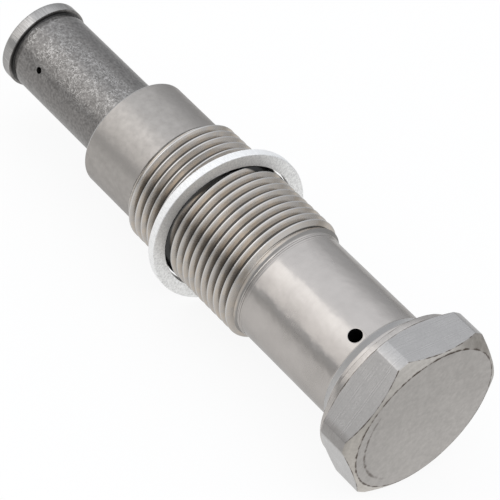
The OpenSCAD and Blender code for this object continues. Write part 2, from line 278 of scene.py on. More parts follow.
class Finishes(bpy.types.PropertyGroup):
    """Colours of the metals and the plastic"""

    shank: colour("Shank", (0.437, 0.413, 0.392), "Plated steel of the neck and shank")
    nose: colour("Nose", (0.368, 0.348, 0.329), "Plated steel of the nose")
    flats: colour("Flats", (0.40, 0.391, 0.384), "Milled sides of the head")
    chamfer: colour("Chamfer", (0.53, 0.50, 0.46), "Turned chamfer of the head")
    end_face: colour("End face", (0.425, 0.405, 0.385), "Faced end of the head")
    dirt: colour("Dirt", (0.10, 0.08, 0.065), "Dirt in the head's creases")
    taper: colour("Taper", (0.53, 0.525, 0.52), "Turned taper of the neck")
    crest: colour("Crest", (0.56, 0.545, 0.53), "Crests of the thread")
    flank: colour("Flank", (0.47, 0.45, 0.428), "Flanks of the thread")
    flank_tan: colour("Flank tan", (0.53, 0.47, 0.405), "Tan patches on the flanks")
    # Painted shade: the dark tone of the thread's roots, of its crease at the nose and of its -Y side
    root: colour("Root", (0.08, 0.074, 0.068), "Roots of the thread")
    # This dark tone is also painted as shadow on the thread under the washer and as shade behind the
    # plunger's flange
    bore: colour("Bore", (0.05, 0.05, 0.05), "Oily bore")
    plunger: colour("Plunger", (0.196, 0.188, 0.181), "Hardened plunger")
    # Light tone of the flecks, laid strongest on the side facing the key light: real flecks with a painted
    # sheen
    plunger_fleck_sheen: colour("Plunger fleck", (0.46, 0.45, 0.44), "Rubbed flecks of the plunger")
    flange: colour("Flange", (0.405, 0.395, 0.385), "Ground tip of the plunger")
    washer: colour("Washer", (0.85, 0.85, 0.84), "Faces of the aluminium washer")
    washer_rim: colour("Washer rim", (0.95, 0.95, 0.945), "Cut rim of the washer")
    spring: colour("Spring", (0.22, 0.22, 0.23), "Spring wire")
    valve: colour("Valve", (0.55, 0.55, 0.56), "Polished valve steel")
    filler: colour("Filler", (0.72, 0.67, 0.54), "Moulded plastic")


class StageSettings(bpy.types.PropertyGroup):
    """Floor, light and camera"""

    floor: colour("Floor", (0.86, 0.86, 0.86), "Floor near the object")
    floor_glow: amount("Floor glow", 0.9, "Share of white that the camera and metal see in the floor")
    floor_radius: length("Floor radius", 1.6, "Radius of the floor")
    floor_centre: FloatVectorProperty(
        name="Floor centre", description="Middle of the floor's bright part",
        default=(-0.03, 0.03, 0.0), size=3, subtype="TRANSLATION",
    )
    floor_near: length("Floor near", 0.07, "Distance where the floor starts to darken for the metal")
    floor_far: length("Floor far", 0.15, "Distance where the floor is darkest for the metal")
    floor_shade: amount("Floor shade", 0.5, "Brightness of the far floor for the metal")
    horizon: amount("Horizon", 0.54, "Brightness of the horizon on the key light's side")
    far_horizon: amount("Far horizon", 0.7, "Brightness of the horizon on the other side")
    front_horizon: amount("Front horizon", 1.1, "Brightness of the horizon in front of the head")
    zenith: amount("Zenith", 1.26, "Brightness overhead")
    key_power: amount("Key power", 0.74, "Radiance of the soft key light")
    key_colour: colour("Key colour", (1.0, 0.965, 0.925), "Colour of the key light")
    key_way: FloatVectorProperty(
        name="Key way", description="Direction of the key light from the object",
        default=(-0.4925, -0.676, 0.5475), size=3, subtype="DIRECTION",
    )
    key_distance: length("Key distance", 0.5, "Distance of the key light")
    key_length: length("Key length", 0.7, "Length of the key light along the object")
    key_width: length("Key width", 0.5, "Width of the key light across the object")
    target: FloatVectorProperty(
        name="Target", description="Point that the camera looks at",
        default=(7.255 * MM, -0.230 * MM, 13.292 * MM), size=3, subtype="TRANSLATION",
    )
    azimuth: angle("Azimuth", 40.142, "Camera's direction round the object")
    elevation: angle("Elevation", 40.178, "Camera's height over the horizon")
    lean: angle("Camera lean", 15.976, "How far the camera leans to its left")
    distance: length("Distance", 446.38 * MM, "Camera's distance from its target")
    lens: amount("Lens", 210.65, "Focal length on a 36 mm sensor")


class TensionerSettings(bpy.types.PropertyGroup):
    """All the settings of the tensioner"""

    housing: PointerProperty(type=HousingSizes)
    bore: PointerProperty(type=BoreSizes)
    washer: PointerProperty(type=WasherSizes)
    plunger: PointerProperty(type=PlungerSizes)
    spring: PointerProperty(type=SpringSizes)
    valve: PointerProperty(type=ValveSizes)
    finish: PointerProperty(type=Finishes)
    stage: PointerProperty(type=StageSettings)


# Mesh helpers


def round_off(bm, geom, offset, affect, segments):
    """Rounds edges or corners by one offset."""
    bmesh.ops.bevel(
        bm, geom=geom, offset=offset, offset_type="OFFSET", segments=segments, profile=0.5,
        affect=affect, material=-1,
    )


def outline(bm, points, closed=False):
    """Draws (radius, station, rounding) points as a wire and rounds its corners."""
    verts = [bm.verts.new((radius, 0.0, station)) for radius, station, _ in points]
    ends = verts[1:] + verts[:1] if closed else verts[1:]
    for pair in zip(verts, ends):
        bm.edges.new(pair)
    for vert, (_, _, rounding) in zip(verts, points):
        if rounding:
            round_off(bm, [vert], rounding, "VERTICES", CORNER_STEPS)
    wire = [edge for edge in bm.edges if edge.is_wire]
    corners = list(dict.fromkeys(vert for edge in wire for vert in edge.verts))
    return corners + wire


def spin(bm, geom, sweep, steps, rise=0.0, merge=False):
    """Spins a wire round the axis while it climbs, and gives back its last copy."""
    made = bmesh.ops.spin(
        bm, geom=geom, cent=CENTRE, axis=AXIS, dvec=(0, 0, rise / steps), angle=sweep, steps=steps,
        use_merge=merge,
    )
    return made["geom_last"]


def turn(points, closed=False, steps=TURN_STEPS):
    """A new mesh, spun from an outline once round the axis."""
    bm = bmesh.new()
    spin(bm, outline(bm, points, closed), FULL_TURN, steps, merge=True)
    return bm


def grow(bm, rim, place):
    """Extrudes an open rim and puts each new vertex at the radius and station of its angle."""
    made = bmesh.ops.extrude_edge_only(bm, edges=rim)["geom"]
    for vert in made:
        if isinstance(vert, bmesh.types.BMVert):
            around = math.atan2(vert.co.y, vert.co.x)
            radius, station = place(around)
            vert.co = (radius * math.cos(around), radius * math.sin(around), station)
    return [edge for edge in made if isinstance(edge, bmesh.types.BMEdge)]


def bridge(bm, station):
    """Joins the two open rims that face each other at a station."""
    rims = [
        edge for edge in bm.edges
        if edge.is_boundary and all(abs(vert.co.z - station) < 2 * RIM_GAP for vert in edge.verts)
    ]
    bmesh.ops.bridge_loops(bm, edges=rims)


def weld(bm):
    """Closes seams and poles, and turns the faces outwards."""
    bmesh.ops.remove_doubles(bm, verts=bm.verts, dist=WELD)
    bmesh.ops.dissolve_degenerate(bm, edges=bm.edges, dist=WELD)
    bmesh.ops.recalc_face_normals(bm, faces=bm.faces)


def wire_section(bm, wire, radius, station):
    """The round section of a wire, ready to be spun."""
    place = Matrix.Translation((radius, 0, station)) @ Matrix.Rotation(QUARTER_TURN, 4, "X")
    ring = bmesh.ops.create_circle(bm, radius=wire / 2, segments=WIRE_STEPS, matrix=place)["verts"]
    return ring + bm.edges[:]


def cap_wire(bm):
    """Closes both ends of a wire."""
    bmesh.ops.holes_fill(bm, edges=[edge for edge in bm.edges if edge.is_boundary])


def wind(wire, radius, turns, first, last, steps):
    """A new mesh of a wire wound between two stations, with a closed turn at each end."""
    closed = min(1.0, turns / 4)
    closed_rise = closed * wire * CLOSED_PITCH
    runs = (
        (closed, closed_rise),
        (turns - 2 * closed, last - first - 2 * closed_rise),
        (closed, closed_rise),
    )
    bm = bmesh.new()
    geom = wire_section(bm, wire, radius, first)
    for run_turns, rise in runs:
        geom = spin(bm, geom, run_turns * FULL_TURN, round(run_turns * steps), rise)
    cap_wire(bm)
    return bm


def link(name, bm):
    """Puts a mesh in the scene as an object, and frees it."""
    mesh = bpy.data.meshes.new(name)
    bm.to_mesh(mesh)
    bm.free()
    obj = bpy.data.objects.new(name, mesh)
    bpy.context.scene.collection.objects.link(obj)
    return obj


def drill(bm, station, around, diameter, inner, outer):
    """Cuts a radial hole between two radii, and gives back the drilled mesh."""
    cutter = bmesh.new()
    place = (
        Matrix.Rotation(around, 4, "Z")
        @ Matrix.Translation(((inner + outer) / 2, 0, station))
        @ Matrix.Rotation(QUARTER_TURN, 4, "Y")
    )
    bmesh.ops.create_cone(
        cutter, cap_ends=True, segments=HOLE_STEPS, radius1=diameter / 2, radius2=diameter / 2,
        depth=outer - inner, matrix=place,
    )
    blank = link("drill_blank", bm)
    tool = link("drill_tool", cutter)
    cut = blank.modifiers.new("Hole", "BOOLEAN")
    cut.object = tool
    cut.operation = "DIFFERENCE"
    cut.solver = "EXACT"
    shown = blank.evaluated_get(bpy.context.evaluated_depsgraph_get())
    drilled = bmesh.new()
    drilled.from_mesh(shown.to_mesh())
    for scrap in (blank, tool):
        bpy.data.meshes.remove(scrap.data)
    return drilled


def join_meshes(bm, other):
    """Adds another mesh to this one, and frees it."""
    scrap = bpy.data.meshes.new("scrap")
    other.to_mesh(scrap)
    other.free()
    bm.from_mesh(scrap)
    bpy.data.meshes.remove(scrap)


def finish_piece(name, bm, body, materials):
    """Lays a finished mesh down as the piece that replaces the CAD node of this name."""
    weld(bm)
    bm.transform(LAY)
    obj = link(name + "_piece", bm)
    for material in materials:
        obj.data.materials.append(material)
    obj.data.shade_smooth()
    obj.data.set_sharp_from_angle(angle=SHARP_ANGLE)
    normals = obj.modifiers.new("Even shading", "WEIGHTED_NORMAL")
    normals.keep_sharp = True
    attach(obj, body)
    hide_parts(name)
    return obj


# Node helpers


def feed(tree, socket, value):
    """Links a socket to another one, or sets its value."""
    if isinstance(value, bpy.types.NodeSocket):
        tree.links.new(value, socket)
    elif socket.type == "RGBA":
        socket.default_value = (*value[:3], 1.0)
    else:
        socket.default_value = value


def add(tree, kind, inputs=None, **settings):
    """Adds a node with its settings, and feeds its inputs."""
    made = tree.nodes.new(kind)
    for key, value in settings.items():
        setattr(made, key, value)
    for key, value in (inputs or {}).items():
        feed(tree, made.inputs[key], value)
    return made


def maths(tree, operation, *values):
    """A Math node's output."""
    return add(tree, "ShaderNodeMath", dict(enumerate(values)), operation=operation).outputs[0]


def product(tree, first, *others):
    """Values multiplied together."""
    for other in others:
        first = maths(tree, "MULTIPLY", first, other)
    return first


def greatest(tree, first, *others):
    """The greatest of several values."""
    for other in others:
        first = maths(tree, "MAXIMUM", first, other)
    return first


def second_least(tree, first, second, *others):
    """The smallest but one of several values."""
    least = maths(tree, "MINIMUM", first, second)
    following = maths(tree, "MAXIMUM", first, second)
    for other in others:
        following = maths(tree, "MINIMUM", following, maths(tree, "MAXIMUM", least, other))
        least = maths(tree, "MINIMUM", least, other)
    return following


def ease(tree, value, low, high, to_low=0.0, to_high=1.0, way="SMOOTHSTEP"):
    """A value mapped from one range to another, and held at its ends."""
    inputs = {"Value": value, "From Min": low, "From Max": high, "To Min": to_low, "To Max": to_high}
    return add(tree, "ShaderNodeMapRange", inputs, interpolation_type=way).outputs[0]


def blend(tree, share, first, second):
    """A mix of two colours."""
    return add(tree, "ShaderNodeMix", {0: share, 6: first, 7: second}, data_type="RGBA").outputs[2]


def scaled(tone, factor):
    """A colour made lighter or darker."""
    return tuple(channel * factor for channel in tone)


def shades(tree, share, tone, low, high):
    """A tone that goes from one factor to another with a share."""
    return blend(tree, share, scaled(tone, low), scaled(tone, high))


def gloss(tree, share, rough):
    """A roughness that falls a little as the share rises."""
    return ease(tree, share, 0.2, 0.8, rough * (1 + GLOSS_SPREAD), rough * (1 - GLOSS_SPREAD))


def bump(tree, height, depth):
    """A Bump node's normal, for a height map of a depth in metres."""
    return add(tree, "ShaderNodeBump", {"Strength": 1.0, "Distance": depth, "Height": height}).outputs[0]


def object_point(tree):
    """The Object coordinates in millimetres."""
    place = add(tree, "ShaderNodeTexCoord").outputs["Object"]
    return add(tree, "ShaderNodeVectorMath", {0: place, "Scale": 1 / MM}, operation="SCALE").outputs[0]


def point_parts(tree):
    """The three Object coordinates in millimetres."""
    return add(tree, "ShaderNodeSeparateXYZ", {0: object_point(tree)}).outputs


def axis_point(tree):
    """A point's X, its distance across the axis and its height over it, in millimetres."""
    point = point_parts(tree)
    return point["X"], point["Y"], maths(tree, "SUBTRACT", point["Z"], AXIS_Z / MM)


# Shared surface effects


def group(name, inputs, outputs):
    """A new shader group with float sockets; gives back the tree and its inputs."""
    tree = bpy.data.node_groups.new(name, "ShaderNodeTree")
    for title, default in inputs.items():
        socket = tree.interface.new_socket(title, in_out="INPUT", socket_type="NodeSocketFloat")
        socket.default_value = default
    for title in outputs:
        tree.interface.new_socket(title, in_out="OUTPUT", socket_type="NodeSocketFloat")
    return tree, tree.nodes.new("NodeGroupInput").outputs


def axis_place_group(name):
    """Station along the tensioner's axis and radius from it, in millimetres."""
    tree, _ = group(name, {}, ("Along", "Radius"))
    station, across, rise = axis_point(tree)
    along = maths(tree, "SUBTRACT", HEAD_X / MM, station)
    square = maths(tree, "MULTIPLY_ADD", rise, rise, maths(tree, "MULTIPLY", across, across))
    add(tree, "NodeGroupOutput", {"Along": along, "Radius": maths(tree, "SQRT", square)})
    return tree


def tool_lines_group(name):
    """Fine parallel lines that a cutting tool leaves, spread along one measure."""
    tree, given = group(name, {"Position": 0.0, "Feed": 0.1}, ("Lines",))
    step = maths(tree, "DIVIDE", given["Position"], given["Feed"])
    inputs = {"W": step, "Scale": 1.0, "Detail": 1.0, "Roughness": 0.4}
    lines = add(tree, "ShaderNodeTexNoise", inputs, noise_dimensions="1D").outputs[0]
    add(tree, "NodeGroupOutput", {"Lines": lines})
    return tree


def cloud_group(name):
    """Blotches of a given size, which may be stretched along the axis."""
    inputs = {"Size": 2.0, "Stretch": 1.0, "Detail": 3.0, "Contrast": 1.0}
    tree, given = group(name, inputs, ("Cloud",))
    point = point_parts(tree)
    along = maths(tree, "DIVIDE", point["X"], given["Stretch"])
    place = add(tree, "ShaderNodeCombineXYZ", {0: along, 1: point["Y"], 2: point["Z"]}).outputs[0]
    scale = maths(tree, "DIVIDE", 1.0, given["Size"])
    inputs = {"Vector": place, "Scale": scale, "Detail": given["Detail"], "Roughness": 0.6}
    noise = add(tree, "ShaderNodeTexNoise", inputs).outputs[0]
    centred = maths(tree, "SUBTRACT", noise, 0.5)
    spread = maths(tree, "MULTIPLY_ADD", centred, given["Contrast"], 0.5)
    add(tree, "NodeGroupOutput", {"Cloud": add(tree, "ShaderNodeClamp", {0: spread}).outputs[0]})
    return tree


def head_surfaces(tree, size, along, radius, across, rise):
    """Distances from the end face, flats, chamfer, back chamfer, and the washer face's rim and top."""
    half_rise = maths(tree, "MULTIPLY", rise, 0.5)
    slant = math.sin(SIXTH_TURN)
    sides = [rise] + [maths(tree, "MULTIPLY_ADD", across, way, half_rise) for way in (slant, -slant)]
    reach_out = greatest(tree, *[maths(tree, "ABSOLUTE", side) for side in sides])
    from_face = maths(tree, "SUBTRACT", radius, size.face_radius / MM)
    from_seat = maths(tree, "SUBTRACT", radius, size.washer_face_radius / MM)
    behind = maths(tree, "SUBTRACT", along, (size.head_height - size.washer_face_rise) / MM)
    surfaces = [
        along,
        maths(tree, "SUBTRACT", reach_out, size.across_flats / 2 / MM),
        maths(tree, "MULTIPLY_ADD", from_face, -math.tan(size.chamfer), along),
        maths(tree, "MULTIPLY_ADD", from_seat, math.tan(size.back_chamfer), behind),
        maths(tree, "MAXIMUM", from_seat, maths(tree, "MULTIPLY", behind, -1.0)),
        maths(tree, "SUBTRACT", along, size.head_height / MM),
    ]
    return [maths(tree, "ABSOLUTE", surface) for surface in surfaces]


def head_creases_group(name):
    """Dirt where two surfaces of the head meet, in a ring on its end face, and in stains on two sides."""
    size = bpy.context.scene.tensioner.housing
    tree, _ = group(name, {}, ("Dirt",))
    along, radius = use(tree, "Axis place")
    _, across, rise = axis_point(tree)
    surfaces = head_surfaces(tree, size, along, radius, across, rise)
    broken = use(tree, "Cloud", Size=1.5, Detail=4.0, Contrast=2.2)[0]

    from_crease = maths(tree, "MULTIPLY_ADD", broken, -0.12, second_least(tree, *surfaces))
    crease = ease(tree, from_crease, -0.05, 0.06, 1.0, 0.0)
    crease = product(tree, crease, ease(tree, broken, 0.1, 0.6, 0.35, 1.0))

    from_ring = maths(tree, "ABSOLUTE", maths(tree, "SUBTRACT", radius, size.face_radius / MM - DIRT_INSET))
    from_ring = maths(tree, "MULTIPLY_ADD", broken, -0.25, from_ring)
    side = maths(tree, "MULTIPLY_ADD", rise, -0.3, maths(tree, "MULTIPLY", across, -0.95))
    ring = product(
        tree,
        ease(tree, from_ring, -0.15, 0.2, 0.8, 0.0),
        ease(tree, side, 6.0, 11.0),
        ease(tree, broken, 0.2, 0.7, 0.2, 1.0),
        ease(tree, along, 0.02, 0.06, 1.0, 0.0),
    )

    on_chamfer = ease(tree, surfaces[2], 0.05, 0.1, 1.0, 0.0)
    far_side = product(tree, on_chamfer, ease(tree, across, 1.0, 7.0, 0.0, 0.45))
    near_side = ease(tree, across, -14.8, -14.3, 0.3, 0.0)
    stain = greatest(tree, far_side, near_side)
    stain = product(tree, stain, ease(tree, broken, 0.0, 0.7, 0.5, 1.0))
    add(tree, "NodeGroupOutput", {"Dirt": greatest(tree, crease, ring, stain)})
    return tree


EFFECTS = {
    "Axis place": axis_place_group,
    "Tool lines": tool_lines_group,
    "Cloud": cloud_group,
    "Head creases": head_creases_group,
}


def use(tree, name, **inputs):
    """The outputs of a shared effect, which is built the first time that it is asked for."""
    effect = bpy.data.node_groups.get(name) or EFFECTS[name](name)
    return add(tree, "ShaderNodeGroup", inputs, node_tree=effect).outputs


# Materials


def empty_tree(owner):
    """The cleared node tree of a material or a world."""
    owner.use_nodes = True
    owner.node_tree.nodes.clear()
    return owner.node_tree


def new_material(name, metallic=1.0):
    """A material with a Principled shader, its tree and that shader."""
    material = bpy.data.materials.new(name)
    tree = empty_tree(material)
    shader = add(tree, "ShaderNodeBsdfPrincipled", {"Metallic": metallic})
    add(tree, "ShaderNodeOutputMaterial", {"Surface": shader.outputs[0]})
    return material, tree, shader


def feed_shader(tree, shader, **inputs):
    """Feeds the shader's inputs, named with underscores for spaces."""
    for key, value in inputs.items():
        feed(tree, shader.inputs[key.replace("_", " ")], value)


def turned_metal(name, tone, rough, lines, cloud, waves=0.0):
    """Metal with a share of fine turning lines, soft clouds in its tone, and slight waves."""
    material, tree, shader = new_material(name)
    along = use(tree, "Axis place")["Along"]
    cuts = use(tree, "Tool lines", Position=along, Feed=TURNING_FEED)[0]
    patches = use(tree, "Cloud", Size=cloud, Detail=5.0, Contrast=1.4)[0]
    shade = maths(tree, "MULTIPLY_ADD", cuts, lines, maths(tree, "MULTIPLY", patches, 1 - lines))
    feed_shader(
        tree, shader, Specular_Tint=EDGE_TINT,
        Base_Color=shades(tree, shade, tone, 0.85, 1.15),
        Roughness=gloss(tree, shade, rough),
    )
    if waves:
        swell = use(tree, "Cloud", Size=3.5, Detail=2.0)[0]
        feed_shader(tree, shader, Normal=bump(tree, swell, waves))
    return material


def head_metal(name, tone, dirt_tone, rough, tool_feed, lines, grain):
    """Metal of the head: broken tool lines along the axis, a fine grain, and dirt in the creases."""
    material, tree, shader = new_material(name)
    along = use(tree, "Axis place")["Along"]
    cuts = use(tree, "Tool lines", Position=along, Feed=tool_feed)[0]
    fine = use(tree, "Cloud", Size=grain, Detail=2.0, Contrast=1.8)[0]
    broad = use(tree, "Cloud", Size=8 * grain, Contrast=1.5)[0]
    broken = maths(tree, "MULTIPLY", broad, 2 * lines)
    shade = maths(tree, "MULTIPLY_ADD", maths(tree, "SUBTRACT", cuts, 0.5), broken, 0.25)
    shade = maths(tree, "MULTIPLY_ADD", fine, 0.3, shade)
    shade = maths(tree, "MULTIPLY_ADD", broad, 0.2, shade)
    clean = shades(tree, shade, tone, 0.75, 1.25)
    feed_shader(
        tree, shader,
        Base_Color=blend(tree, use(tree, "Head creases")[0], clean, dirt_tone),
        Roughness=gloss(tree, shade, rough),
    )
    return material


def washer_place(washer):
    """Place and lean of the washer on the upright part."""
    return (
        Matrix.Translation((0, 0, washer.station))
        @ Matrix.Rotation(washer.lean_angle, 4, "Z")
        @ Matrix.Rotation(washer.lean, 4, "Y")
    )


def washer_distance(tree, washer):
    """Distance from the middle plane of the leaning washer, in millimetres."""
    place = LAY @ washer_place(washer)
    way = place.to_3x3() @ Vector(AXIS)
    inputs = {0: object_point(tree), 1: way}
    reach_out = add(tree, "ShaderNodeVectorMath", inputs, operation="DOT_PRODUCT").outputs["Value"]
    return maths(tree, "ABSOLUTE", maths(tree, "SUBTRACT", reach_out, place.translation.dot(way) / MM))


def thread_metal(settings):
    """Bright crests, patchy flanks, and painted shade in the roots, in the crease at the nose and on the -Y
    side, with a painted shadow under the washer.
    """
    size, washer, finish = settings.housing, settings.washer, settings.finish
    material, tree, shader = new_material("Rolled thread")
    along, radius = use(tree, "Axis place")
    start, end, run = size.thread_start / MM, size.thread_end / MM, size.thread_chamfer / MM
    top = size.thread_radius / MM
    rise = ease(tree, along, start, start + run, size.shank_radius / MM, top, "LINEAR")
    fall = ease(tree, along, end - run, end, top, size.nose_radius / MM, "LINEAR")
    depth = maths(tree, "SUBTRACT", maths(tree, "MINIMUM", rise, fall), radius)
    patches = use(tree, "Cloud", Size=1.6, Contrast=2.4)[0]

    flank = blend(tree, patches, finish.flank, finish.flank_tan)
    runout = ease(tree, along, start + 0.7 * run, start + run, 1.0, 0.0)
    crest = blend(tree, runout, finish.crest, scaled(finish.flank, 0.65))
    outer = blend(tree, ease(tree, depth, 0.02, 0.1), crest, flank)

    # Painted shade: the lower flanks are darker towards the thread's -Y side
    side = point_parts(tree)["Y"]
    painted_side_shade = product(tree, ease(tree, depth, 0.05, 0.75), ease(tree, side, -9.8, -7.6, 0.4, 0.0))
    # Painted shade deep in the roots of the thread
    root = ease(tree, depth, 0.74, 0.88)
    # Painted shade in the crease where the thread runs into the nose
    nose_crease_shade = product(tree, ease(tree, along, end - 0.25, end - 0.1), ease(tree, patches, 0.2, 0.6, 0.3, 0.9))
    open_thread = blend(tree, greatest(tree, painted_side_shade, root, nose_crease_shade), outer, finish.root)

    # Painted shadow on the thread under the leaning washer and just beside it
    half = washer.thickness / 2 / MM
    under = ease(tree, washer_distance(tree, washer), half - 0.14, half + 0.03, 1.0, 0.0)
    feed_shader(
        tree, shader, Specular_Tint=EDGE_TINT,
        Base_Color=blend(tree, under, open_thread, finish.bore),
        Roughness=maths(tree, "MULTIPLY_ADD", runout, 0.25, ease(tree, patches, 0.2, 0.8, 0.28, 0.2)),
    )
    return material


def plunger_metal(settings):
    """Hardened steel, softly mottled, with curly flecks whose light tone is laid strongest on the side
    facing the key light as a painted sheen, and painted shade behind the flange.
    """
    size, finish = settings.plunger, settings.finish
    material, tree, shader = new_material("Hardened plunger")
    along, radius = use(tree, "Axis place")
    _, across, rise = axis_point(tree)
    broad = use(tree, "Cloud", Size=2.0, Detail=4.0, Contrast=1.6)[0]
    mottle = use(tree, "Cloud", Size=0.5, Detail=3.0, Contrast=2.6)[0]
    curls = {
        "Vector": object_point(tree), "Scale": 2.2, "Detail": 1.0, "Roughness": 0.6, "Offset": 1.0,
        "Gain": 1.5, "Distortion": 0.8,
    }
    fleck = add(tree, "ShaderNodeTexNoise", curls, noise_type="RIDGED_MULTIFRACTAL").outputs[0]
    # side grows where the surface faces the key light; the flecks' light tone is laid strongest there, a
    # painted sheen over the real flecks
    side = maths(tree, "MULTIPLY_ADD", across, -0.6, maths(tree, "MULTIPLY", rise, 0.8))
    fleck = product(tree, fleck, ease(tree, side, 3.4, 6.6, 0.35, 1.0))
    rubbed = product(tree, ease(tree, fleck, 0.8, 1.75), ease(tree, broad, 0.25, 0.7, 0.25, 1.0))
    clean = blend(tree, rubbed, shades(tree, mottle, finish.plunger, 0.7, 1.3), finish.plunger_fleck_sheen)

    back, body = size.flange_back / MM, size.radius / MM
    # Painted shade in the undercut corner behind the flange
    behind = ease(tree, along, back - 0.5, back, 0.0, 0.85)
    flange_shade = product(tree, behind, ease(tree, radius, body, body + 0.3, 1.0, 0.0))
    feed_shader(
        tree, shader,
        Base_Color=blend(tree, flange_shade, clean, finish.bore),
        Roughness=ease(tree, rubbed, 0.0, 0.8, 0.37, 0.2),
        Normal=bump(tree, fleck, size.fleck_height),
    )
    return material


def grained_metal(name, tone, rough, grain, stretch, contrast):
    """Metal with a fine grain, which may run along the axis."""
    material, tree, shader = new_material(name)
    fine = use(tree, "Cloud", Size=grain, Stretch=stretch, Contrast=contrast)[0]
    feed_shader(
        tree, shader, Specular_Tint=EDGE_TINT,
        Base_Color=shades(tree, fine, tone, 0.78, 1.1),
        Roughness=gloss(tree, fine, rough),
    )
    return material


def plain_metal(name, tone, rough):
    """Metal with soft clouds in its tone and gloss, made once for all the pieces that ask for it."""
    if name in bpy.data.materials:
        return bpy.data.materials[name]
    material, tree, shader = new_material(name)
    patches = use(tree, "Cloud", Size=0.8)[0]
    feed_shader(
        tree, shader,
        Base_Color=shades(tree, patches, tone, 0.9, 1.1),
        Roughness=gloss(tree, patches, rough),
    )
    return material


def spring_metal(finish):
    """Oiled spring wire."""
    return plain_metal("Spring wire", finish.spring, rough=0.35)


def valve_metal(finish):
    """Polished steel of the check valve."""
    return plain_metal("Polished valve steel", finish.valve, rough=0.15)


def moulded_plastic(tone):
    """Natural moulded plastic."""
    material, tree, shader = new_material("Moulded filler", metallic=0.0)
    patches = use(tree, "Cloud", Size=3.0)[0]
    feed_shader(
        tree, shader,
        Base_Color=shades(tree, patches, tone, 0.92, 1.06),
        Roughness=ease(tree, patches, 0.2, 0.8, 0.5, 0.4),
    )
    return material


# Pieces


def head_angles(size):
    """Angles round the head, with one on each edge between a flat and a blunt land."""
    half_flat = math.acos(size.across_flats / 2 / size.corner_radius)
    half_land = SIXTH_TURN / 2 - half_flat
    for side in range(6):
        middle = side * SIXTH_TURN
        for step in range(FLAT_STEPS):
            yield middle + half_flat * (2 * step / FLAT_STEPS - 1)
        for step in range(LAND_STEPS):
            yield middle + half_flat + half_land * 2 * step / LAND_STEPS


def build_head(size):
    """Hex head: end face, chamfers, six flats, six blunt lands and a round washer face."""
    foot = size.head_height - size.washer_face_rise

    def outer(around):
        from_flat = (around + SIXTH_TURN / 2) % SIXTH_TURN - SIXTH_TURN / 2
        return min(size.corner_radius, size.across_flats / 2 / math.cos(from_flat))

    def front(around):
        return outer(around), (outer(around) - size.face_radius) * math.tan(size.chamfer)

    def back(around):
        return outer(around), foot - (outer(around) - size.washer_face_radius) * math.tan(size.back_chamfer)

    bm = bmesh.new()
    ring = bmesh.ops.create_circle(bm, cap_ends=True, radius=size.face_radius, segments=TURN_STEPS)["verts"]
    for vert, around in zip(ring, head_angles(size)):
        vert.co = (size.face_radius * math.cos(around), size.face_radius * math.sin(around), 0.0)
    rim = grow(bm, bm.edges[:], front)
    rim = grow(bm, rim, back)
    rim = grow(bm, rim, lambda around: (size.washer_face_radius, foot))
    rim = grow(bm, rim, lambda around: (size.washer_face_radius, size.head_height))
    grow(bm, rim, lambda around: (size.collar_radius, size.head_height))
    bmesh.ops.recalc_face_normals(bm, faces=bm.faces)
    edges = [
        edge for edge in bm.edges
        if not edge.is_boundary and edge.is_convex and edge.calc_face_angle() > BEVEL_ANGLE
    ]
    round_off(bm, edges, size.edge, "EDGES", EDGE_STEPS)
    return bm


def thread_outline(size):
    """Crests and roots of all the turns, with one to spare at each end."""
    pitch = size.thread_pitch
    half_crest = size.crest_width / 2
    flank = (pitch - size.crest_width - size.root_width) / 2
    root = size.thread_radius - flank / math.tan(FLANK_ANGLE)
    first = size.crest_station + pitch * math.floor((size.thread_start - size.crest_station) / pitch - 1)
    points = []
    for count in range(math.ceil((size.thread_end - first) / pitch) + 2):
        crest = first + count * pitch
        points += [
            (root, crest - half_crest - flank, size.root_edge),
            (size.thread_radius, crest - half_crest, size.crest_edge),
            (size.thread_radius, crest + half_crest, size.crest_edge),
            (root, crest + half_crest + flank, size.root_edge),
        ]
    points[0] = (*points[0][:2], 0.0)
    points[-1] = (*points[-1][:2], 0.0)
    return points


def trim_thread(bm, size):
    """Chamfers both ends of the thread and cuts them square."""
    for vert in bm.verts:
        rise = max(0.0, vert.co.z - size.thread_start) / size.thread_chamfer
        fall = max(0.0, size.thread_end - vert.co.z) / size.thread_chamfer
        limit = min(
            size.shank_radius + rise * (size.thread_radius - size.shank_radius),
            size.nose_radius + fall * (size.thread_radius - size.nose_radius),
        )
        shrink = min(1.0, limit / vert.co.xy.length)
        vert.co.x *= shrink
        vert.co.y *= shrink
    for station, outwards in ((size.thread_start, -1), (size.thread_end, 1)):
        bmesh.ops.bisect_plane(
            bm, geom=bm.verts[:] + bm.edges[:] + bm.faces[:], dist=WELD, plane_co=(0, 0, station),
            plane_no=(0, 0, outwards), clear_outer=True,
        )


def build_thread(size):
    """Spins one sector of the thread while it climbs, repeats it round the axis, and trims both ends."""
    sector_angle = FULL_TURN / THREAD_SECTORS
    sector_rise = size.thread_pitch / THREAD_SECTORS
    onward = Matrix.Translation((0, 0, sector_rise)) @ Matrix.Rotation(sector_angle, 4, "Z")
    sector = bmesh.new()
    wire = outline(sector, thread_outline(size))
    spin(sector, wire, sector_angle, TURN_STEPS // THREAD_SECTORS, sector_rise)
    bm = bmesh.new()
    for _ in range(THREAD_SECTORS):
        join_meshes(bm, sector.copy())
        sector.transform(onward)
    sector.free()
    bmesh.ops.remove_doubles(bm, verts=bm.verts, dist=WELD)
    trim_thread(bm, size)
    return bm


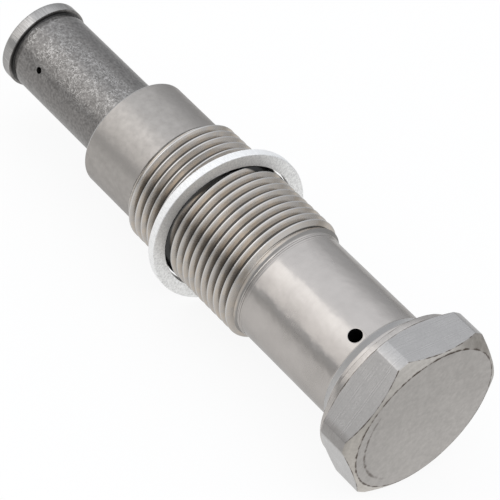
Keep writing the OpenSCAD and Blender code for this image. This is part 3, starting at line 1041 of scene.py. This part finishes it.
def neck_outline(size):
    """Collar, taper, shank and the fine ridges where the thread runs out."""
    foot = size.thread_start - RIM_GAP
    points = [
        (size.collar_radius, size.head_height + RIM_GAP, 0.0),
        (size.collar_radius, size.collar_end, size.collar_edge),
        (size.shank_radius, size.collar_end + size.neck_taper, size.taper_edge),
    ]
    for ridge in range(RUNOUT_RIDGES):
        top = foot - (RUNOUT_RIDGES - ridge - RUNOUT_SHIFT) * size.runout_pitch
        points += [
            (size.shank_radius + ridge * size.runout_height / 2, top - size.runout_pitch / 2, 0.0),
            (size.shank_radius + (ridge + 1) * size.runout_height, top, size.runout_edge),
        ]
    return points + [(size.shank_radius, foot, 0.0)]


def nose_outline(size, bore):
    """Nose, mouth and the stepped bore down to the drill's tip."""
    chamfer = size.nose_chamfer
    return [
        (size.nose_radius, size.thread_end + RIM_GAP, 0.0),
        (size.nose_radius, NOSE_END - chamfer, size.nose_edge),
        (size.nose_radius - chamfer, NOSE_END, bore.edge),
        (bore.guide_radius + chamfer, NOSE_END, bore.edge),
        (bore.guide_radius, NOSE_END - chamfer, bore.edge),
        (bore.guide_radius, bore.ring_stop, bore.edge),
        (bore.chamber_radius, bore.ring_stop, bore.edge),
        (bore.chamber_radius, bore.pocket_end + bore.chamber_radius - bore.guide_radius, 0.0),
        (bore.guide_radius, bore.pocket_end, 0.0),
        (bore.guide_radius, SEAT_STATION, 0.0),
        (bore.inlet_radius, SEAT_STATION, bore.edge),
        (bore.inlet_radius, bore.inlet_floor, 0.0),
        (0.0, bore.inlet_floor - bore.inlet_radius * math.tan(bore.drill_slope), 0.0),
    ]


def housing_finish(face, size):
    """Which of the housing's finishes a face takes."""
    middle = face.calc_center_median()
    outwards = face.normal.xy.dot(middle.xy)
    radius = middle.xy.length
    taper_end = size.collar_end + size.neck_taper
    mouth = NOSE_END - size.nose_chamfer - size.nose_edge / 2
    if outwards < 0 and radius < size.shank_radius - size.oil_hole / 4:
        return BORE
    if middle.z < size.head_height and face.normal.z < -SLANTED:
        return END_FACE if face.normal.z < -SQUARE else CHAMFER
    if middle.z < size.head_height and radius > size.collar_radius:
        on_seat = face.normal.z > SLANTED or radius < size.washer_face_radius + size.edge
        return WASHER_FACE if on_seat else FLATS
    if size.collar_end < middle.z < taper_end and radius > size.shank_radius:
        return TAPER
    if middle.z > mouth and radius > size.nose_radius - size.nose_chamfer:
        return TAPER
    if size.thread_start < middle.z < size.thread_end:
        return THREAD
    return NOSE if middle.z > size.thread_end else SHANK


def break_edge(bm, station, diameter, offset, finishes):
    """Rounds the edge of a radial hole, where two finishes meet."""
    edges = [
        edge for edge in bm.edges
        if tuple(sorted(face.material_index for face in edge.link_faces)) == finishes
        and all(abs(vert.co.z - station) < diameter for vert in edge.verts)
    ]
    round_off(bm, edges, offset, "EDGES", EDGE_STEPS)


def housing_materials(settings):
    """The housing's materials, in the order of its finishes."""
    finish = settings.finish
    dirt = finish.dirt
    materials = {
        SHANK: turned_metal(
            "Plated shank", finish.shank, rough=0.25, lines=0.2, cloud=6.0, waves=0.12 * MM
        ),
        NOSE: turned_metal(
            "Plated nose", finish.nose, rough=0.38, lines=0.2, cloud=1.0, waves=0.06 * MM
        ),
        TAPER: turned_metal("Turned taper", finish.taper, rough=0.5, lines=0.3, cloud=3.0),
        FLATS: head_metal(
            "Milled flats", finish.flats, dirt, rough=0.3, tool_feed=0.17, lines=0.5, grain=0.3
        ),
        CHAMFER: head_metal(
            "Turned chamfer", finish.chamfer, dirt, rough=0.45, tool_feed=0.15, lines=0.3, grain=0.5
        ),
        END_FACE: head_metal(
            "Faced end", finish.end_face, dirt, rough=0.42, tool_feed=1.0, lines=0.0, grain=0.7
        ),
        WASHER_FACE: head_metal(
            "Turned washer face", finish.shank, dirt, rough=0.25, tool_feed=0.15, lines=0.5, grain=0.5
        ),
        THREAD: thread_metal(settings),
        BORE: plain_metal("Oily bore", finish.bore, rough=0.5),
    }
    return [materials[key] for key in sorted(materials)]


def build_housing(settings):
    """One turned, threaded and drilled housing."""
    size, bore = settings.housing, settings.bore
    bm = build_thread(size)
    join_meshes(bm, build_head(size))
    join_meshes(bm, turn(neck_outline(size)))
    join_meshes(bm, turn(nose_outline(size, bore)))
    for station in (size.head_height, size.thread_start, size.thread_end):
        bridge(bm, station)
    weld(bm)
    bm = drill(
        bm, size.oil_hole_station, size.oil_hole_angle, size.oil_hole,
        bore.inlet_radius / 2, size.collar_radius,
    )
    for face in bm.faces:
        face.material_index = housing_finish(face, size)
    break_edge(bm, size.oil_hole_station, size.oil_hole, size.oil_hole_edge, (SHANK, BORE))
    finish_piece("housing", bm, "housing", housing_materials(settings))


def build_washer(settings):
    """Flat stamped ring, leaning on the thread."""
    size, finish = settings.washer, settings.finish
    half = size.thickness / 2
    points = [
        (size.bore_radius, -half, size.bore_edge),
        (size.outer_radius, -half, size.rim_edge),
        (size.outer_radius, half, size.rim_edge),
        (size.bore_radius, half, size.bore_edge),
    ]
    bm = turn(points, closed=True)
    weld(bm)
    for face in bm.faces:
        outwards = face.normal.dot(face.calc_center_median().normalized())
        face.material_index = RIM if outwards > RIM_FACING else BAND
    bm.transform(washer_place(size))
    materials = [
        grained_metal(
            "Stamped aluminium", finish.washer, rough=0.45, grain=0.3, stretch=1.0, contrast=2.2
        ),
        grained_metal(
            "Cut aluminium rim", finish.washer_rim, rough=0.7, grain=0.15, stretch=6.0, contrast=1.0
        ),
    ]
    finish_piece("sealing_washer", bm, "housing", materials)


def plunger_outline(size):
    """Flanged tip, undercut, body with its ring groove, and the spring's bore."""
    half_groove = size.ring_wire / 2 + size.groove_play
    groove = size.ring_radius - half_groove
    neck = size.radius - size.undercut_depth
    undercut = size.flange_back - size.undercut_width
    return [
        (0.0, TIP, 0.0),
        (size.flange_radius, TIP, size.flange_edge),
        (size.flange_radius, size.flange_back, size.flange_edge / 2),
        (neck, size.flange_back, size.edge),
        (neck, undercut, size.edge),
        (size.radius, undercut, size.edge),
        (size.radius, size.ring_station + half_groove, size.edge),
        (groove, size.ring_station + half_groove, size.edge),
        (groove, size.ring_station - half_groove, size.edge),
        (size.radius, size.ring_station - half_groove, size.edge),
        (size.radius, OPEN_END + size.chamfer, size.edge),
        (size.radius - size.chamfer, OPEN_END, size.edge),
        (size.bore_radius, OPEN_END, size.edge),
        (size.bore_radius, FILLER_END, 0.0),
        (0.0, FILLER_END, 0.0),
    ]


def plunger_finish(face, size):
    """Which of the plunger's finishes a face takes."""
    middle = face.calc_center_median()
    if middle.xy.length < (size.radius + size.bore_radius) / 2 and middle.z < FILLER_END:
        return CUP
    return TIP_FACE if middle.z > size.flange_back + size.flange_edge / 4 else BODY


def build_plunger(settings):
    """Turned cup with a flanged tip, a ring groove and a vent."""
    size, finish = settings.plunger, settings.finish
    bm = turn(plunger_outline(size))
    weld(bm)
    bm = drill(bm, size.vent_station, size.vent_angle, size.vent, size.bore_radius / 2, size.flange_radius)
    for face in bm.faces:
        face.material_index = plunger_finish(face, size)
    materials = [
        plunger_metal(settings),
        grained_metal("Ground tip", finish.flange, rough=0.28, grain=0.14, stretch=15.0, contrast=5.0),
        plain_metal("Oily plunger bore", finish.bore, rough=0.5),
    ]
    finish_piece("plunger", bm, "plunger", materials)


def build_stop_ring(settings):
    """Open wire ring in the plunger's groove."""
    size = settings.plunger
    bm = bmesh.new()
    section = wire_section(bm, size.ring_wire, size.ring_radius, size.ring_station)
    spin(bm, section, FULL_TURN - size.ring_gap, INNER_STEPS)
    cap_wire(bm)
    finish_piece("stop_ring", bm, "plunger", [spring_metal(settings.finish)])


def build_springs(settings):
    """The long plunger spring and the light valve spring."""
    size = settings.spring
    springs = (
        ("plunger_spring", size.wire, size.radius, size.turns, "plunger_slide"),
        ("valve_spring", size.valve_wire, size.valve_radius, size.valve_turns, "ball_lift"),
    )
    for name, wire, radius, turns, joint in springs:
        _, first, last = reach(name)
        bm = wind(wire, radius, turns, first + wire / 2, last - wire / 2, size.steps)
        piece = finish_piece(name, bm, "housing", [spring_metal(settings.finish)])
        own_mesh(piece)


def build_filler(settings):
    """Headed plastic pin inside the plunger spring."""
    size = settings.spring
    back = FILLER_END - size.filler_flange
    points = [
        (0.0, STEM_END, 0.0),
        (size.stem_radius - size.stem_chamfer, STEM_END, size.filler_edge),
        (size.stem_radius, STEM_END + size.stem_chamfer, size.filler_edge),
        (size.stem_radius, back, size.filler_edge),
        (FILLER_R, back, size.filler_edge),
        (FILLER_R, FILLER_END, size.filler_edge / 2),
        (0.0, FILLER_END, 0.0),
    ]
    bm = turn(points, steps=INNER_STEPS)
    finish_piece("filler", bm, "plunger", [moulded_plastic(settings.finish.filler)])


def build_valve_seat(settings):
    """Hardened disc with the inlet orifice and the ball's cone."""
    size = settings.valve
    points = [
        (size.orifice_radius, SEAT_STATION, size.edge),
        (SEAT_R, SEAT_STATION, size.seat_edge),
        (SEAT_R, SEAT_TOP, size.seat_edge),
        (size.cone_radius, SEAT_TOP, size.edge),
        (size.orifice_radius, SEAT_TOP - size.cone_radius + size.orifice_radius, size.edge),
    ]
    bm = turn(points, closed=True, steps=INNER_STEPS)
    finish_piece("valve_seat", bm, "housing", [valve_metal(settings.finish)])


def build_valve_ball(settings):
    """Ball that closes the orifice."""
    _, first, last = reach("valve_ball")
    bm = bmesh.new()
    bmesh.ops.create_uvsphere(
        bm, u_segments=BALL_STEPS, v_segments=BALL_STEPS // 2, radius=(last - first) / 2,
        matrix=Matrix.Translation((0, 0, (first + last) / 2)),
    )
    finish_piece("valve_ball", bm, "valve_ball", [valve_metal(settings.finish)])


def build_valve_cage(settings):
    """Stamped cap with side windows, which holds the ball and its spring."""
    size = settings.valve
    _, first, last = reach("valve_cage")
    roof = last - size.sheet
    flange_top = first + size.sheet
    inner = size.cage_radius - size.sheet
    points = [
        (inner, first, size.edge),
        (SEAT_R, first, size.edge),
        (SEAT_R, flange_top, size.edge),
        (size.cage_radius, flange_top, size.edge),
        (size.cage_radius, last, size.roof_edge),
        (size.roof_vent, last, size.edge),
        (size.roof_vent, roof, size.edge),
        (inner, roof, size.roof_edge / 3),
    ]
    bm = turn(points, closed=True, steps=INNER_STEPS)
    weld(bm)
    for side in range(size.windows):
        bm = drill(
            bm, (flange_top + roof) / 2, side * FULL_TURN / size.windows, size.window,
            inner / 2, size.cage_radius + size.sheet,
        )
    finish_piece("valve_cage", bm, "housing", [valve_metal(settings.finish)])


# Stage


def floor_material(stage):
    """Pale floor, white to the camera and darker far off to the metal, with its shadow kept."""
    material = bpy.data.materials.new("Pale floor")
    tree = empty_tree(material)
    place = add(tree, "ShaderNodeTexCoord").outputs["Object"]
    distance = add(
        tree, "ShaderNodeVectorMath", {0: place, 1: stage.floor_centre}, operation="DISTANCE"
    ).outputs["Value"]
    path = add(tree, "ShaderNodeLightPath").outputs
    away = maths(tree, "SUBTRACT", 1.0, path["Is Camera Ray"])
    fade = maths(tree, "MULTIPLY", away, ease(tree, distance, stage.floor_near, stage.floor_far))
    tone = blend(tree, fade, stage.floor, scaled(stage.floor, stage.floor_shade))
    glow = blend(tree, fade, (1.0, 1.0, 1.0), (stage.floor_shade,) * 3)
    seen = maths(tree, "ADD", path["Is Camera Ray"], path["Is Glossy Ray"])
    seen = maths(tree, "ADD", seen, path["Is Transmission Ray"])
    share = maths(tree, "MULTIPLY", seen, stage.floor_glow)
    lit = add(tree, "ShaderNodeBsdfDiffuse", {"Color": tone}).outputs[0]
    white = add(tree, "ShaderNodeEmission", {"Color": glow, "Strength": 1.0}).outputs[0]
    mixed = add(tree, "ShaderNodeMixShader", {0: share, 1: lit, 2: white}).outputs[0]
    add(tree, "ShaderNodeOutputMaterial", {"Surface": mixed})
    return material


def build_floor(stage):
    """A round floor under the object."""
    bm = bmesh.new()
    bmesh.ops.create_circle(bm, cap_ends=True, radius=stage.floor_radius, segments=FLOOR_STEPS)
    floor = link("floor", bm)
    floor.data.materials.append(floor_material(stage))


def build_world(stage):
    """Soft light from all round, brighter overhead than at the horizon."""
    world = bpy.data.worlds.new("Studio")
    tree = empty_tree(world)
    way = add(tree, "ShaderNodeTexCoord").outputs["Generated"]
    way = add(tree, "ShaderNodeSeparateXYZ", {0: way}).outputs
    horizon = ease(tree, way["Y"], -0.5, 0.5, stage.horizon, stage.far_horizon)
    horizon = ease(tree, way["X"], 0.5, 0.95, horizon, stage.front_horizon)
    light = ease(tree, way["Z"], 0.3, 0.9, horizon, stage.zenith)
    back = add(tree, "ShaderNodeBackground", {"Color": SKY_TINT, "Strength": light}).outputs[0]
    add(tree, "ShaderNodeOutputWorld", {"Surface": back})
    bpy.context.scene.world = world


def build_key(stage):
    """A large soft light on the camera's left, with its length along the tensioner."""
    way = Vector(stage.key_way).normalized()
    along = (Vector((1, 0, 0)) - way * way.x).normalized()
    across = way.cross(along)
    light = bpy.data.lights.new("key", "AREA")
    light.shape = "RECTANGLE"
    light.size = stage.key_length
    light.size_y = stage.key_width
    light.energy = stage.key_power * math.pi * light.size * light.size_y
    light.color = stage.key_colour
    key = bpy.data.objects.new("key", light)
    place = Matrix.Translation(way * stage.key_distance + Vector((0, 0, AXIS_Z)))
    key.matrix_world = place @ Matrix((along, across, way)).transposed().to_4x4()
    key.visible_camera = False
    bpy.context.scene.collection.objects.link(key)


def build_camera(stage):
    """The camera at the viewing angle of the picture."""
    back = Vector((
        math.sin(stage.azimuth) * math.cos(stage.elevation),
        -math.cos(stage.azimuth) * math.cos(stage.elevation),
        math.sin(stage.elevation),
    ))
    data = bpy.data.cameras.new("camera")
    data.lens = stage.lens
    data.sensor_width = 36.0
    data.clip_start = 0.01
    data.clip_end = 20.0
    camera = bpy.data.objects.new("camera", data)
    turned = back.to_track_quat("Z", "Y").to_matrix() @ Matrix.Rotation(stage.lean, 3, "Z")
    camera.matrix_world = Matrix.Translation(Vector(stage.target) + back * stage.distance) @ turned.to_4x4()
    bpy.context.scene.collection.objects.link(camera)
    bpy.context.scene.camera = camera


class TENSIONER_OT_stage(bpy.types.Operator):
    """Sets up the floor, the light and the camera"""

    bl_idname = "tensioner.stage"
    bl_label = "Stage"

    def execute(self, context):
        stage = context.scene.tensioner.stage
        context.scene.view_settings.view_transform = "Standard"
        build_floor(stage)
        build_world(stage)
        build_key(stage)
        build_camera(stage)
        return {"FINISHED"}


class TENSIONER_OT_housing(bpy.types.Operator):
    """Builds the threaded housing with its hex head"""

    bl_idname = "tensioner.housing"
    bl_label = "Housing"

    def execute(self, context):
        build_housing(context.scene.tensioner)
        return {"FINISHED"}


class TENSIONER_OT_sealing_washer(bpy.types.Operator):
    """Builds the loose sealing washer"""

    bl_idname = "tensioner.sealing_washer"
    bl_label = "Sealing Washer"

    def execute(self, context):
        build_washer(context.scene.tensioner)
        return {"FINISHED"}


class TENSIONER_OT_plunger(bpy.types.Operator):
    """Builds the plunger"""

    bl_idname = "tensioner.plunger"
    bl_label = "Plunger"

    def execute(self, context):
        build_plunger(context.scene.tensioner)
        return {"FINISHED"}


class TENSIONER_OT_stop_ring(bpy.types.Operator):
    """Builds the plunger's stop ring"""

    bl_idname = "tensioner.stop_ring"
    bl_label = "Stop Ring"

    def execute(self, context):
        build_stop_ring(context.scene.tensioner)
        return {"FINISHED"}


class TENSIONER_OT_springs(bpy.types.Operator):
    """Winds the plunger spring and the valve spring"""

    bl_idname = "tensioner.springs"
    bl_label = "Springs"

    def execute(self, context):
        build_springs(context.scene.tensioner)
        return {"FINISHED"}


class TENSIONER_OT_filler(bpy.types.Operator):
    """Builds the filler inside the plunger spring"""

    bl_idname = "tensioner.filler"
    bl_label = "Filler"

    def execute(self, context):
        build_filler(context.scene.tensioner)
        return {"FINISHED"}


class TENSIONER_OT_check_valve(bpy.types.Operator):
    """Builds the check valve's seat, ball and cage"""

    bl_idname = "tensioner.check_valve"
    bl_label = "Check Valve"

    def execute(self, context):
        settings = context.scene.tensioner
        build_valve_seat(settings)
        build_valve_ball(settings)
        build_valve_cage(settings)
        return {"FINISHED"}


STEPS = (
    TENSIONER_OT_stage,
    TENSIONER_OT_housing,
    TENSIONER_OT_sealing_washer,
    TENSIONER_OT_plunger,
    TENSIONER_OT_stop_ring,
    TENSIONER_OT_springs,
    TENSIONER_OT_filler,
    TENSIONER_OT_check_valve,
)


class TENSIONER_PT_sidebar(bpy.types.Panel):
    """Lists the tensioner's pieces in the sidebar"""

    bl_idname = "TENSIONER_PT_sidebar"
    bl_label = "Timing Chain Tensioner"
    bl_space_type = "VIEW_3D"
    bl_region_type = "UI"
    bl_category = "Tensioner"

    def draw(self, context):
        for step in STEPS:
            self.layout.operator(step.bl_idname)


CLASSES = (
    HousingSizes,
    BoreSizes,
    WasherSizes,
    PlungerSizes,
    SpringSizes,
    ValveSizes,
    Finishes,
    StageSettings,
    TensionerSettings,
    *STEPS,
    TENSIONER_PT_sidebar,
)


def register():
    """Registers the classes and adds the settings to the scene."""
    for item in CLASSES:
        bpy.utils.register_class(item)
    bpy.types.Scene.tensioner = PointerProperty(type=TensionerSettings)


def unregister():
    """Removes the settings and the classes."""
    del bpy.types.Scene.tensioner
    for item in reversed(CLASSES):
        bpy.utils.unregister_class(item)


def main():
    """Builds the stage and every piece in order."""
    register()
    bpy.ops.tensioner.stage()
    bpy.ops.tensioner.housing()
    bpy.ops.tensioner.sealing_washer()
    bpy.ops.tensioner.plunger()
    bpy.ops.tensioner.stop_ring()
    bpy.ops.tensioner.springs()
    bpy.ops.tensioner.filler()
    bpy.ops.tensioner.check_valve()


if __name__ == "__main__":
    main()
